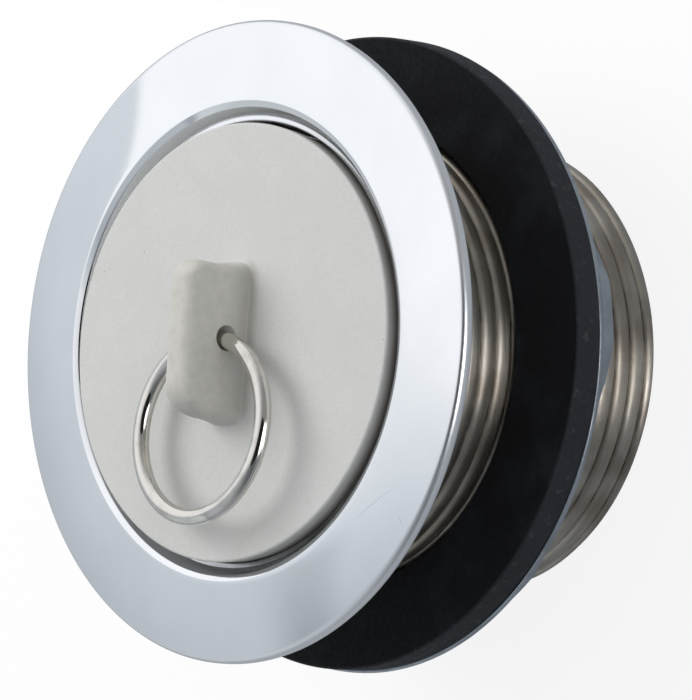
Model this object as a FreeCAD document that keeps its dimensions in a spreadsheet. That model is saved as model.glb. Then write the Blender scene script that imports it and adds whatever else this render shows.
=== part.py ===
"""Bath waste with a rubber plug: flanged body, plug with pull ring, rubber washer, slip ring and backnut.

The waste stands upright on its tail. The Z axis is the axis of the drain and Z = 0 is the underside of the
flange, where it rests on the bath. The lug of the plug runs along X and its eye along Y.
Lengths are millimetres and angles degrees.
"""
import FreeCAD, Part
import os
import re
import Sketcher

SIZES = {
    # Tail, neck and strainer of the body: the crests of the thread set the size of the whole fitting
    "tail_radius": 25.1,
    "tail_length": 38.1,
    "tail_wall": 3.7,
    "tail_chamfer": 0.3,
    "neck_step": 2.5,
    "neck_height": 5.0,
    "bar_width": 3.0,
    "bar_height": 4.0,
    "bar_drop": 1.5,
    "bar_root": 0.8,
    # Flange and seat of the body
    "flange_width": 8.9,
    "flange_edge": 1.4,
    "flange_rise": 0.7,
    "flange_round": 0.35,
    "mouth_gap": 2.35,
    "mouth_round": 0.7,
    "lip_depth": 1.55,
    "shelf_gap": 0.95,
    "seat_clearance": 0.15,
    "ledge_clearance": 0.3,
    # Plug and its lug
    "plug_overlap": 0.2,
    "plug_taper": 2.15,
    "plug_height": 12.5,
    "plug_proud": 0.6,
    "plug_round": 0.3,
    "plug_rim": 5.1,
    "recess_draft": 1.2,
    "recess_depth": 5.0,
    "lug_height": 7.9,
    "lug_length": 17.5,
    "lug_thickness": 3.6,
    "lug_waist_dip": 0.6,
    "lug_root_spread": 1.5,
    "lug_root_swell": 3.0,
    "lug_corner": 1.2,
    "lug_round": 1.1,
    "lug_sink": 0.5,
    "eye_clearance": 0.4,
    "eye_height": 2.5,
    # Pull ring
    "ring_radius": 9.8,
    "wire_radius": 0.85,
    "ring_tilt": 3.8,
    "ring_roll": 0.9,
    # Rubber washer, slip ring and backnut on the tail
    "washer_depth": 15.6,
    "washer_thickness": 3.4,
    "washer_round": 0.3,
    "washer_clearance": 0.5,
    "slip_thickness": 0.7,
    "slip_clearance": 0.6,
    "slip_sag": 0.25,
    "nut_wall": 4.9,
    "nut_thickness": 4.3,
    "nut_corner": 2.8,
    "nut_chamfer": 0.7,
    "nut_chamfer_run": 1.4,
    "nut_angle": 38.4,
    "thread_clearance": 0.3,
    # Room that every cut runs past the solid
    "overrun": 2.0,
}

# The lug thickens from its end to its root: at these shares of its height it has these shares of the way
# from the size at its end to the size at its root.
LUG_LEVEL_SHARES = (0.16, 0.45, 0.78)
LUG_THICKNESS_SHARES = (0.42, 0.24, 0.10)
LUG_WAIST_SHARES = (0.60, 1.00, 0.35)

NUT_SIDES = 6

doc = FreeCAD.newDocument("BathWaste")
sheet = doc.addObject("Spreadsheet::Sheet", "Sizes")
for row, (name, value) in enumerate(SIZES.items(), start=1):
    sheet.set(f"A{row}", name)
    sheet.set(f"B{row}", str(value))
    sheet.setAlias(f"B{row}", name)
doc.recompute()


def cells(text):
    """Returns an expression in which each size name points at its cell in the sheet."""
    return re.sub(r"[a-z_]+", lambda word: f"Sizes.{word[0]}" if word[0] in SIZES else word[0], text)


def new_body(label):
    """Adds an empty body that carries the name of its node."""
    body = doc.addObject("PartDesign::Body", label)
    body.Label = label
    return body


def new_sketch(body, name, plane, level=None):
    """Adds a sketch on an origin plane of its body, raised by the level expression where one is given."""
    sketch = body.newObject("Sketcher::SketchObject", name)
    origin = [item for item in body.Origin.OriginFeatures if item.Role == plane]
    sketch.AttachmentSupport = (origin[0], "")
    sketch.MapMode = "FlatFace"
    if level:
        sketch.setExpression(".AttachmentOffset.Base.z", cells(level))
    return sketch


def bind(sketch, constraint, expression):
    """Adds a constraint whose value is an expression of the sheet."""
    index = sketch.addConstraint(constraint)
    sketch.setExpression(f"Constraints[{index}]", cells(expression))


def amount(expression):
    """Returns the present value of an expression of the sheet."""
    return float(sheet.evalExpression(cells(expression)))


def hold_point(sketch, geometry, end, across, along):
    """Fixes one end of a sketch element at two expressions from the sketch's origin."""
    bind(sketch, Sketcher.Constraint("DistanceX", -1, 1, geometry, end, amount(across)), across)
    bind(sketch, Sketcher.Constraint("DistanceY", -1, 1, geometry, end, amount(along)), along)


def draw_outline(sketch, corners):
    """Draws a closed outline of straight lines through corners given as pairs of expressions."""
    places = [FreeCAD.Vector(amount(across), amount(along), 0) for across, along in corners]
    count = len(places)
    for index in range(count):
        sketch.addGeometry(Part.LineSegment(places[index], places[(index + 1) % count]), False)
    for index, (across, along) in enumerate(corners):
        sketch.addConstraint(Sketcher.Constraint("Coincident", index, 2, (index + 1) % count, 1))
        hold_point(sketch, index, 1, across, along)


def draw_circle(sketch, radius, across="0", along="0"):
    """Draws a circle of a given radius with its centre at two expressions."""
    centre = FreeCAD.Vector(amount(across), amount(along), 0)
    index = sketch.addGeometry(Part.Circle(centre, FreeCAD.Vector(0, 0, 1), amount(radius)), False)
    hold_point(sketch, index, 3, across, along)
    bind(sketch, Sketcher.Constraint("Radius", index, amount(radius)), radius)


def draw_rounded_box(sketch, half_length, half_width, corner):
    """Draws a centred rectangle with round corners: four lines, each followed by a quarter circle."""
    far, side, turn = amount(half_length), amount(half_width), amount(corner)
    centres = [(1, 1), (-1, 1), (-1, -1), (1, -1)]
    inner = [FreeCAD.Vector(x * (far - turn), y * (side - turn), 0) for x, y in centres]
    quarter = FreeCAD.Units.parseQuantity("90 deg").getValueAs("rad").Value
    axis = FreeCAD.Vector(0, 0, 1)
    for index, centre in enumerate(inner):
        start = index * quarter
        circle = Part.Circle(centre, axis, turn)
        sketch.addGeometry(Part.ArcOfCircle(circle, start, start + quarter), False)
    arcs = range(len(inner))
    lines = []
    for index in arcs:
        following = (index + 1) % len(inner)
        start = sketch.getPoint(index, 2)
        end = sketch.getPoint(following, 1)
        lines.append(sketch.addGeometry(Part.LineSegment(start, end), False))
    for index in arcs:
        following = (index + 1) % len(inner)
        sketch.addConstraint(Sketcher.Constraint("Tangent", index, 2, lines[index], 1))
        sketch.addConstraint(Sketcher.Constraint("Tangent", lines[index], 2, following, 1))
    for index in arcs[1:]:
        sketch.addConstraint(Sketcher.Constraint("Equal", 0, index))
    bind(sketch, Sketcher.Constraint("Radius", 0, turn), corner)
    for index, (x, y) in enumerate(centres[:3:2]):
        across = f"{x} * ( {half_length} - {corner} )"
        along = f"{y} * ( {half_width} - {corner} )"
        hold_point(sketch, 2 * index, 3, across, along)


def add_feature(body, kind, name, sketch):
    """Adds a feature of one body that reads a sketch."""
    feature = body.newObject(f"PartDesign::{kind}", name)
    feature.Profile = sketch
    return feature


def add_turned(body, kind, name, sketch):
    """Adds a full turn of a sketch about the upright axis of its plane."""
    feature = add_feature(body, kind, name, sketch)
    feature.ReferenceAxis = (sketch, ["V_Axis"])
    feature.Angle = 360
    return feature


def round_rims(body, name, size, rims):
    """Rounds the circular edges that lie at the given radius and height expressions."""
    doc.recompute()
    last = body.Tip
    edges = []
    for radius, height in rims:
        wanted = (amount(radius), amount(height))
        for index, edge in enumerate(last.Shape.Edges, start=1):
            if not isinstance(edge.Curve, Part.Circle):
                continue
            found = (edge.Curve.Radius, edge.Curve.Center.z)
            if max(abs(a - b) for a, b in zip(found, wanted)) < Part.Precision.approximation():
                edges.append(f"Edge{index}")
    if len(edges) < len(rims):
        raise ValueError(f"{name}: an edge is missing")
    feature = body.newObject("PartDesign::Fillet", name)
    feature.Base = (last, edges)
    feature.setExpression("Radius", cells(size))


# Radii that several pieces share, from the tail inward to the plug and outward to the flange and the nut
BORE_RADIUS = "( tail_radius - tail_wall )"
PLUG_FOOT_RADIUS = f"( {BORE_RADIUS} + plug_overlap )"
PLUG_RADIUS = f"( {PLUG_FOOT_RADIUS} + plug_taper )"
SHELF_RADIUS = f"( {PLUG_RADIUS} + shelf_gap )"
MOUTH_RADIUS = f"( {PLUG_RADIUS} + mouth_gap )"
FLANGE_RADIUS = f"( {MOUTH_RADIUS} + flange_width )"
EYE_RADIUS = "( wire_radius + eye_clearance )"
NUT_FLAT = "( tail_radius + nut_wall )"

# Heights that several pieces share
MOUTH = "( flange_edge + flange_rise )"
FACE = f"( {MOUTH} + plug_proud )"
PLUG_FOOT = f"( {FACE} - plug_height )"
LEDGE = f"( {PLUG_FOOT} - ledge_clearance )"
SHELF = f"( {MOUTH} - lip_depth )"
EYE = f"( {FACE} + eye_height )"
WASHER_FOOT = "( 0 - washer_depth - washer_thickness )"
SLIP_FOOT = f"( {WASHER_FOOT} - slip_thickness )"
NUT_FOOT = f"( {SLIP_FOOT} - nut_thickness )"


def flank(height):
    """Returns the radius of the plug's tapered side at a height."""
    return f"( {PLUG_RADIUS} - ( {FACE} - {height} ) * plug_taper / plug_height )"


def seat(height):
    """Returns the radius of the seat, which runs beside the plug's side at a small clearance."""
    return f"( {flank(height)} + seat_clearance )"


def make_waste_body():
    """Flange, seat with its lip and shelf, neck and tail turned in one, with the strainer cross across the bore."""
    body = new_body("waste_body")
    profile = new_sketch(body, "BodyProfile", "XZ_Plane")
    draw_outline(profile, [
        (MOUTH_RADIUS, MOUTH),
        (FLANGE_RADIUS, "flange_edge"),
        (FLANGE_RADIUS, "0"),
        ("tail_radius + neck_step", "0"),
        ("tail_radius", "0 - neck_height"),
        ("tail_radius", "0 - tail_length + tail_chamfer"),
        ("tail_radius - tail_chamfer", "0 - tail_length"),
        (BORE_RADIUS, "0 - tail_length"),
        (BORE_RADIUS, LEDGE),
        (seat(LEDGE), LEDGE),
        (seat(SHELF), SHELF),
        (SHELF_RADIUS, SHELF),
    ])
    add_turned(body, "Revolution", "BodyTurned", profile)
    round_rims(body, "FlangeRound", "flange_round", [(FLANGE_RADIUS, "flange_edge")])
    round_rims(body, "MouthRound", "mouth_round", [(MOUTH_RADIUS, MOUTH)])
    bar_sketch = new_sketch(body, "BarOutline", "XY_Plane", f"{LEDGE} - bar_drop - bar_height")
    reach = f"{BORE_RADIUS} + bar_root"
    draw_outline(bar_sketch, [
        (reach, "bar_width / 2"),
        (f"0 - ( {reach} )", "bar_width / 2"),
        (f"0 - ( {reach} )", "0 - bar_width / 2"),
        (reach, "0 - bar_width / 2"),
    ])
    bar = add_feature(body, "Pad", "StrainerBar", bar_sketch)
    bar.setExpression("Length", cells("bar_height"))
    cross = body.newObject("PartDesign::PolarPattern", "StrainerCross")
    cross.Originals = [bar]
    cross.Axis = (bar_sketch, ["N_Axis"])
    cross.Angle = 90
    cross.Occurrences = 2
    body.Tip = cross
    return body


def make_plug():
    """Tapered rubber plug, hollow below, with the lug moulded on its face and the eye through the lug."""
    body = new_body("rubber_plug")
    profile = new_sketch(body, "PlugProfile", "XZ_Plane")
    roof = f"{PLUG_FOOT} + recess_depth"
    recess = f"( {PLUG_FOOT_RADIUS} - plug_rim )"
    draw_outline(profile, [
        ("0", FACE),
        (PLUG_RADIUS, FACE),
        (PLUG_FOOT_RADIUS, PLUG_FOOT),
        (recess, PLUG_FOOT),
        (f"{recess} - recess_draft", roof),
        ("0", roof),
    ])
    add_turned(body, "Revolution", "PlugTurned", profile)
    round_rims(body, "PlugRounds", "plug_round", [
        (PLUG_RADIUS, FACE),
        (PLUG_FOOT_RADIUS, PLUG_FOOT),
        (f"{recess} - recess_draft", roof),
    ])
    root = new_sketch(body, "LugRoot", "XY_Plane", f"{FACE} - lug_sink")
    root_thickness = "( lug_thickness + lug_root_swell )"
    draw_rounded_box(root, "( lug_length + lug_root_spread ) / 2", f"{root_thickness} / 2", "lug_corner")
    sections = []
    for number, level in enumerate(LUG_LEVEL_SHARES):
        section = new_sketch(body, f"LugSection{number}", "XY_Plane", f"{FACE} + {level} * lug_height")
        swell = f"lug_root_swell * {LUG_THICKNESS_SHARES[number]}"
        dip = f"lug_waist_dip * {LUG_WAIST_SHARES[number]}"
        draw_rounded_box(section, f"( lug_length - {dip} ) / 2", f"( lug_thickness + {swell} ) / 2", "lug_corner")
        sections.append(section)
    end = new_sketch(body, "LugEnd", "XY_Plane", f"{FACE} + lug_height")
    draw_rounded_box(end, "lug_length / 2", "lug_thickness / 2", "lug_corner")
    doc.recompute()
    lug = add_feature(body, "AdditiveLoft", "Lug", root)
    lug.Sections = sections + [end]
    lug.Ruled = False
    doc.recompute()
    top = amount(f"{FACE} + lug_height")
    rim = [
        f"Edge{index}" for index, edge in enumerate(lug.Shape.Edges, start=1)
        if abs(edge.BoundBox.ZMin - top) + abs(edge.BoundBox.ZMax - top) < Part.Precision.approximation()
    ]
    edge_round = body.newObject("PartDesign::Fillet", "LugRound")
    edge_round.Base = (lug, rim)
    edge_round.setExpression("Radius", cells("lug_round"))
    eye = new_sketch(body, "EyeOutline", "XZ_Plane")
    draw_circle(eye, EYE_RADIUS, "0", EYE)
    cut = add_feature(body, "Pocket", "Eye", eye)
    cut.Midplane = True
    cut.setExpression("Length", cells(f"{root_thickness} + overrun"))
    return body


def make_ring():
    """Wire ring through the eye of the lug, standing a little off the face of the plug."""
    body = new_body("pull_ring")
    profile = new_sketch(body, "WireSection", "XZ_Plane")
    draw_circle(profile, "wire_radius", "ring_radius")
    profile.AttachmentOffset.Rotation.Axis = FreeCAD.Vector(1, 0, 0)
    profile.setExpression(".AttachmentOffset.Rotation.Angle", cells("0 - ring_roll"))
    add_turned(body, "Revolution", "RingTurned", profile)
    body.Placement.Rotation.Axis = FreeCAD.Vector(0, 1, 0)
    body.setExpression(".Placement.Rotation.Angle", cells("ring_tilt"))
    body.setExpression(".Placement.Base.x", cells("0 - ring_radius * cos(ring_tilt * 1 deg)"))
    body.setExpression(".Placement.Base.z", cells(f"{EYE} + ring_radius * sin(ring_tilt * 1 deg)"))
    return body


def make_flat_ring(label, radius, bore, foot, thickness):
    """Flat ring on the tail: washer or slip ring."""
    body = new_body(label)
    outline = new_sketch(body, f"{label}_outline", "XY_Plane", foot)
    draw_circle(outline, radius)
    draw_circle(outline, bore)
    pad = add_feature(body, "Pad", f"{label}_pad", outline)
    pad.setExpression("Length", cells(thickness))
    return body


def make_washer():
    """Rubber washer as wide as the flange, with slightly rounded rims."""
    body = make_flat_ring("sealing_washer", FLANGE_RADIUS, "tail_radius + washer_clearance", WASHER_FOOT,
                          "washer_thickness")
    round_rims(body, "WasherRound", "washer_round", [
        (FLANGE_RADIUS, WASHER_FOOT),
        (FLANGE_RADIUS, "0 - washer_depth"),
    ])
    return body


def make_slip_ring():
    """Thin steel ring that lets the nut turn on the rubber. It hangs a little to one side on the tail."""
    body = make_flat_ring("slip_ring", FLANGE_RADIUS, "tail_radius + slip_clearance", SLIP_FOOT,
                          "slip_thickness")
    body.setExpression(".Placement.Base.x", cells("0 - slip_sag"))
    return body


def make_backnut():
    """Thin hexagon nut with its corners turned round and a bevel on its outer face."""
    body = new_body("backnut")
    outline = new_sketch(body, "NutOutline", "XY_Plane", NUT_FOOT)
    corner = f"{NUT_FLAT} / cos(180 deg / {NUT_SIDES})"
    turns = [f"360 deg * {side} / {NUT_SIDES}" for side in range(NUT_SIDES)]
    draw_outline(outline, [(f"{corner} * cos({turn})", f"{corner} * sin({turn})") for turn in turns])
    pad = add_feature(body, "Pad", "NutBlank", outline)
    pad.setExpression("Length", cells("nut_thickness"))
    bore = new_sketch(body, "NutBore", "XY_Plane", NUT_FOOT)
    draw_circle(bore, "tail_radius + thread_clearance")
    hole = add_feature(body, "Pocket", "NutHole", bore)
    hole.Midplane = True
    hole.setExpression("Length", cells("2 * nut_thickness + overrun"))
    trim = new_sketch(body, "NutTrim", "XZ_Plane")
    turned = f"( {NUT_FLAT} + nut_corner )"
    outside = f"{corner} + overrun"
    draw_outline(trim, [
        (turned, f"{SLIP_FOOT} + overrun"),
        (outside, f"{SLIP_FOOT} + overrun"),
        (outside, f"{NUT_FOOT} - overrun"),
        (f"{turned} - nut_chamfer_run - overrun", f"{NUT_FOOT} - overrun"),
        (f"{turned} - nut_chamfer_run", NUT_FOOT),
        (turned, f"{NUT_FOOT} + nut_chamfer"),
    ])
    add_turned(body, "Groove", "NutTurned", trim)
    body.Placement.Rotation.Axis = FreeCAD.Vector(0, 0, 1)
    body.setExpression(".Placement.Rotation.Angle", cells("nut_angle"))
    return body


pieces = [
    make_waste_body(),
    make_plug(),
    make_ring(),
    make_washer(),
    make_slip_ring(),
    make_backnut(),
]
doc.recompute()

for item in doc.Objects:
    if "Invalid" in item.State or "Error" in item.State:
        raise RuntimeError(f"{item.Label} did not build: {item.State}")
for piece in pieces:
    if piece.Shape.isNull() or not piece.Shape.isValid():
        raise RuntimeError(f"{piece.Label} has no valid shape")

os.makedirs("parts", exist_ok=True)
for piece in pieces:
    piece.Shape.exportStep(f"parts/{piece.Label}.step")
    box = piece.Shape.BoundBox
    print(f"{piece.Label}: {len(piece.Shape.Solids)} solid, {piece.Shape.Volume:.1f} mm3,"
          f" Z {box.ZMin:.2f} to {box.ZMax:.2f}")
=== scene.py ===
"""Bath waste with a rubber plug: the finished look of every piece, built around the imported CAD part.

The waste stands upright on its tail, in the frame of the CAD part. +Z runs up the axis of the drain, Z = 0
is the underside of the flange, and the lug of the plug runs along X. Lengths are metres and angles radians.
"""

import logging
import math
from abc import ABC, abstractmethod
from collections.abc import Iterable, Sequence
from dataclasses import dataclass
from enum import Enum

import bmesh
import bpy
from mathutils import Matrix, Vector


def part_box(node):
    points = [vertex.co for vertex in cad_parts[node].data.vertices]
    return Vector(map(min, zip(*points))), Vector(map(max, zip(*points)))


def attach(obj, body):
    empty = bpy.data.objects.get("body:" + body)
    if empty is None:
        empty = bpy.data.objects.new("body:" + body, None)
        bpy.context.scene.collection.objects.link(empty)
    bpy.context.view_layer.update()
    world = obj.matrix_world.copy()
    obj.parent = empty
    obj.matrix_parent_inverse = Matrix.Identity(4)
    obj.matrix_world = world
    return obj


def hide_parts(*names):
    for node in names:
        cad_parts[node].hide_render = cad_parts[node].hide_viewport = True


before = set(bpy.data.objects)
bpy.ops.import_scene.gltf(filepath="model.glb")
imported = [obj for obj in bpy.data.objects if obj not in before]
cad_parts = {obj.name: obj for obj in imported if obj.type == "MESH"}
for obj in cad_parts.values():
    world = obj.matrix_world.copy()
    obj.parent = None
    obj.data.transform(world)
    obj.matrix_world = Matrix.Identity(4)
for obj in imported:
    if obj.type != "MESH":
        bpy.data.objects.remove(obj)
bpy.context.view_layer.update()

MM = 0.001
DRAIN_AXIS = Vector((0, 0, 1))
FRONT = (0.0, -1.0, 0.0)
BACK = (0.0, 1.0, 0.0)
SEAM = 1e-7
RIM_SEAM = 10 * SEAM
CREASE = math.radians(38)
WHITE = (1.0, 1.0, 1.0)

log = logging.getLogger("bath_waste")

Point = tuple[float, float]
Span = tuple[float, float]
Colour = tuple[float, float, float]
Direction = tuple[float, float, float]
Place = tuple[float, float, float]
Tones = tuple[tuple[float, Colour], ...]
Socket = bpy.types.NodeSocket


class Body(Enum):
    """The moving bodies of the CAD part."""

    WASTE = "waste"
    PLUG = "plug"
    RING = "ring"
    SEAL = "seal"
    NUT = "nut"


class Slot(Enum):
    """The record's material slots."""

    PLATED_BRASS = "plated_brass"
    PALE_RUBBER = "pale_rubber"
    RING_WIRE = "ring_wire"
    BLACK_RUBBER = "black_rubber"
    ZINC_SHEET = "zinc_sheet"
    ZINC_NUT = "zinc_nut"


class Grain(Enum):
    """How a texture's pattern is drawn out over a turned piece."""

    EVEN = (1.0, 1.0, 1.0)
    ROUND_AXIS = (0.25, 0.25, 3.0)


@dataclass(frozen=True)
class Noise:
    """Soft noise: the rough size of its blotches, how many finer layers it has, and how it is drawn out."""

    size: float
    detail: float = 3.0
    grain: Grain = Grain.EVEN


@dataclass(frozen=True)
class Specks:
    """Scattered specks.

    They lie in places at a spacing, and only a share of the places hold one. The core is the share of a
    speck's radius that is fully covered.
    """

    spacing: float
    radius: float
    share: float
    core: float = 0.5


@dataclass(frozen=True)
class Scratch:
    """A fine, slightly wandering scratch across a face that is square to the drain's axis.

    The width is half of the scratch's own. The fades are the shares of its length over which it begins and
    ends.
    """

    start: Point
    end: Point
    width: float = 0.07 * MM
    wander: Noise = Noise(9.0 * MM, detail=1.0)
    wander_span: Span = (0.3, 0.7)
    wander_widths: float = 7.0
    fade_in: float = 0.25
    fade_out: float = 0.5


@dataclass(frozen=True)
class Round:
    """A rounded edge: its radius, and how many edges its arc has."""

    radius: float
    steps: int = 6


class NodeBench:
    """A node tree while it is made.

    A Mix node has several sockets of the same name, so its sockets for colours go by number.
    """

    mix_share: int = 0
    mix_colours: tuple[int, int] = (6, 7)
    mix_result: int = 2

    def __init__(self, tree: bpy.types.NodeTree) -> None:
        """Takes the tree that the nodes go into."""
        self.tree = tree

    def add(self, kind: str, **settings: object) -> bpy.types.Node:
        """Adds a node.

        Args:
            kind: Blender's name for the node.
            **settings: Properties of the node.

        Returns:
            The new node.
        """
        node = self.tree.nodes.new(kind)
        for name, value in settings.items():
            setattr(node, name, value)
        return node

    def join(self, source: Socket, target: Socket) -> None:
        """Links one socket to another."""
        self.tree.links.new(source, target)

    def feed(self, target: Socket, value: Socket | float | Sequence[float]) -> None:
        """Gives a socket a link or a plain value.

        Args:
            target: The socket.
            value: The socket to link it to, or its value.
        """
        if isinstance(value, bpy.types.NodeSocket):
            self.join(value, target)
        else:
            target.default_value = value

    def math(self, operation: str, *operands: Socket | float) -> Socket:
        """Adds a math node, or a row of them where there are more than two operands.

        Args:
            operation: Blender's name for the sum.
            *operands: One operand or more.

        Returns:
            The result.
        """
        result, *others = operands
        for other in others or [0.0]:
            node = self.add("ShaderNodeMath", operation=operation)
            self.feed(node.inputs[0], result)
            self.feed(node.inputs[1], other)
            result = node.outputs[0]
        return result

    def along(self, vector: Socket, axis: Sequence[float]) -> Socket:
        """Measures a vector along an axis.

        Args:
            vector: The vector.
            axis: The axis, whose length scales the result.

        Returns:
            The dot product of both.
        """
        node = self.add("ShaderNodeVectorMath", operation="DOT_PRODUCT")
        node.inputs[1].default_value = axis
        self.join(vector, node.inputs[0])
        return node.outputs["Value"]

    def band(
        self, value: Socket, low: float, high: float, start: Socket | float = 0.0,
        end: Socket | float = 1.0, blend: str = "SMOOTHSTEP",
    ) -> Socket:
        """Maps a value from one range to another and holds it at the ends.

        Args:
            value: The value to map.
            low: Where the map starts.
            high: Where it ends, above or below its start.
            start: Result at low and before it.
            end: Result at high and after it.
            blend: Blender's name for the way between.

        Returns:
            The mapped value.
        """
        node = self.add("ShaderNodeMapRange", interpolation_type=blend)
        turned = low > high
        for name, number in (
            ("From Min", high if turned else low),
            ("From Max", low if turned else high),
            ("To Min", end if turned else start),
            ("To Max", start if turned else end),
        ):
            self.feed(node.inputs[name], number)
        self.join(value, node.inputs["Value"])
        return node.outputs["Result"]

    def tones(self, value: Socket, stops: Tones) -> Socket:
        """Colours a value.

        Args:
            value: The value to colour.
            stops: Values in rising order, each with its colour.

        Returns:
            The colour.
        """
        first, last = stops[0][0], stops[-1][0]
        node = self.add("ShaderNodeValToRGB")
        self.join(self.band(value, first, last, blend="LINEAR"), node.inputs["Fac"])
        marks = node.color_ramp.elements
        while len(marks) < len(stops):
            marks.new(1.0)
        for mark, (place, tone) in zip(marks, stops):
            mark.position = (place - first) / (last - first)
            mark.color = (*tone, 1.0)
        return node.outputs["Color"]

    def blend(self, share: Socket | float, first: Socket | Colour, second: Socket | Colour) -> Socket:
        """Mixes two colours.

        Args:
            share: Share of the second colour.
            first: First colour.
            second: Second colour.

        Returns:
            The mixed colour.
        """
        node = self.add("ShaderNodeMix", data_type="RGBA")
        self.feed(node.inputs[self.mix_share], share)
        for index, colour in zip(self.mix_colours, (first, second)):
            is_link = isinstance(colour, bpy.types.NodeSocket)
            self.feed(node.inputs[index], colour if is_link else (*colour, 1.0))
        return node.outputs[self.mix_result]

    def shader_mix(self, share: Socket, first: Socket, second: Socket) -> Socket:
        """Mixes two shaders.

        Args:
            share: Share of the second shader.
            first: First shader.
            second: Second shader.

        Returns:
            The mixed shader.
        """
        node = self.add("ShaderNodeMixShader")
        for target, source in zip(node.inputs, (share, first, second)):
            self.join(source, target)
        return node.outputs[0]


class Surface(NodeBench):
    """A material while it is made: its nodes, and the shader that they feed."""

    def __init__(self, name: str) -> None:
        """Starts a material with a principled shader and the piece's own coordinates.

        Args:
            name: Name of the material.
        """
        self.material = bpy.data.materials.new(name)
        self.material.use_nodes = True
        super().__init__(self.material.node_tree)
        self.shader = self.tree.nodes["Principled BSDF"]
        self.place = self.add("ShaderNodeTexCoord").outputs["Object"]
        self.relief: Socket | None = None

    def give(self, **values: Socket | float | Sequence[float]) -> None:
        """Sets sockets of the principled shader, named with underscores for spaces.

        Args:
            **values: A link or a plain value for each socket.
        """
        for name, value in values.items():
            if not isinstance(value, bpy.types.NodeSocket) and name == "Base_Color":
                value = (*value, 1.0)
            self.feed(self.shader.inputs[name.replace("_", " ")], value)

    def stretched(self, grain: Grain) -> Socket:
        """Draws out the piece's coordinates.

        Args:
            grain: How they are drawn out.

        Returns:
            The coordinates for a texture.
        """
        if grain is Grain.EVEN:
            return self.place
        mapping = self.add("ShaderNodeMapping")
        mapping.inputs["Scale"].default_value = grain.value
        self.join(self.place, mapping.inputs["Vector"])
        return mapping.outputs["Vector"]

    def noise(self, noise: Noise) -> Socket:
        """Adds soft noise.

        Args:
            noise: What it is like.

        Returns:
            A value from 0 to 1, around 0.5.
        """
        node = self.add("ShaderNodeTexNoise")
        node.inputs["Scale"].default_value = 1.0 / noise.size
        node.inputs["Detail"].default_value = noise.detail
        self.join(self.stretched(noise.grain), node.inputs["Vector"])
        return node.outputs[0]

    def specks(self, specks: Specks) -> Socket:
        """Scatters specks.

        Args:
            specks: What they are like.

        Returns:
            1 inside a speck and 0 outside.
        """
        node = self.add("ShaderNodeTexVoronoi")
        node.inputs["Scale"].default_value = 1.0 / specks.spacing
        self.join(self.place, node.inputs["Vector"])
        reach = specks.radius / specks.spacing
        near = self.band(node.outputs["Distance"], reach, specks.core * reach)
        split = self.add("ShaderNodeSeparateColor")
        self.join(node.outputs["Color"], split.inputs[0])
        chosen = self.math("LESS_THAN", split.outputs[0], specks.share)
        return self.math("MULTIPLY", near, chosen)

    def scratch(self, scratch: Scratch) -> Socket:
        """Draws a scratch.

        Args:
            scratch: Where it runs and what it is like.

        Returns:
            1 in the scratch, falling to 0 beside it and towards its ends.
        """
        first = Vector((*scratch.start, 0.0))
        way = Vector((*scratch.end, 0.0)) - first
        run = way.normalized()
        aside = DRAIN_AXIS.cross(run)
        ahead = self.math("SUBTRACT", self.along(self.place, run), run.dot(first))
        off = self.math("SUBTRACT", self.along(self.place, aside), aside.dot(first))
        wander = scratch.wander_widths * scratch.width
        sway = self.band(self.noise(scratch.wander), *scratch.wander_span, -wander, wander)
        return self.math(
            "MULTIPLY",
            self.band(self.math("ABSOLUTE", self.math("ADD", off, sway)), scratch.width, 0.0),
            self.band(ahead, 0.0, way.length * scratch.fade_in),
            self.band(ahead, way.length, way.length * (1 - scratch.fade_out)),
        )

    def radius(self) -> Socket:
        """Returns the distance of each point from the axis of the drain."""
        flat = self.add("ShaderNodeVectorMath", operation="MULTIPLY")
        flat.inputs[1].default_value = (1.0, 1.0, 0.0)
        self.join(self.place, flat.inputs[0])
        length = self.add("ShaderNodeVectorMath", operation="LENGTH")
        self.join(flat.outputs["Vector"], length.inputs[0])
        return length.outputs["Value"]

    def turning(self) -> Socket:
        """Returns the direction in which a lathe tool ran over each point, round the axis of the drain."""
        cross = self.add("ShaderNodeVectorMath", operation="CROSS_PRODUCT")
        cross.inputs[0].default_value = DRAIN_AXIS
        self.join(self.place, cross.inputs[1])
        return cross.outputs["Vector"]

    def height(self) -> Socket:
        """Returns the height of each point in the part's frame."""
        split = self.add("ShaderNodeSeparateXYZ")
        self.join(self.place, split.inputs[0])
        return split.outputs["Z"]

    def emboss(self, height: Socket, depth: float) -> None:
        """Adds fine relief on top of what the surface has already.

        Args:
            height: Height from 0 to 1.
            depth: Depth that the height stands for.
        """
        bump = self.add("ShaderNodeBump")
        bump.inputs["Distance"].default_value = depth
        self.join(height, bump.inputs["Height"])
        if self.relief:
            self.join(self.relief, bump.inputs["Normal"])
        self.relief = bump.outputs["Normal"]
        self.join(self.relief, self.shader.inputs["Normal"])


class Finish(ABC):
    """A finish that can be painted onto pieces."""

    def paint(self, name: str) -> bpy.types.Material:
        """Makes the finish's material.

        Args:
            name: Name of the material.

        Returns:
            The new material.
        """
        surface = Surface(name)
        self.dress(surface)
        return surface.material

    @abstractmethod
    def dress(self, surface: Surface) -> None:
        """Gives a new surface its colours, its gloss and its relief."""


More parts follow.
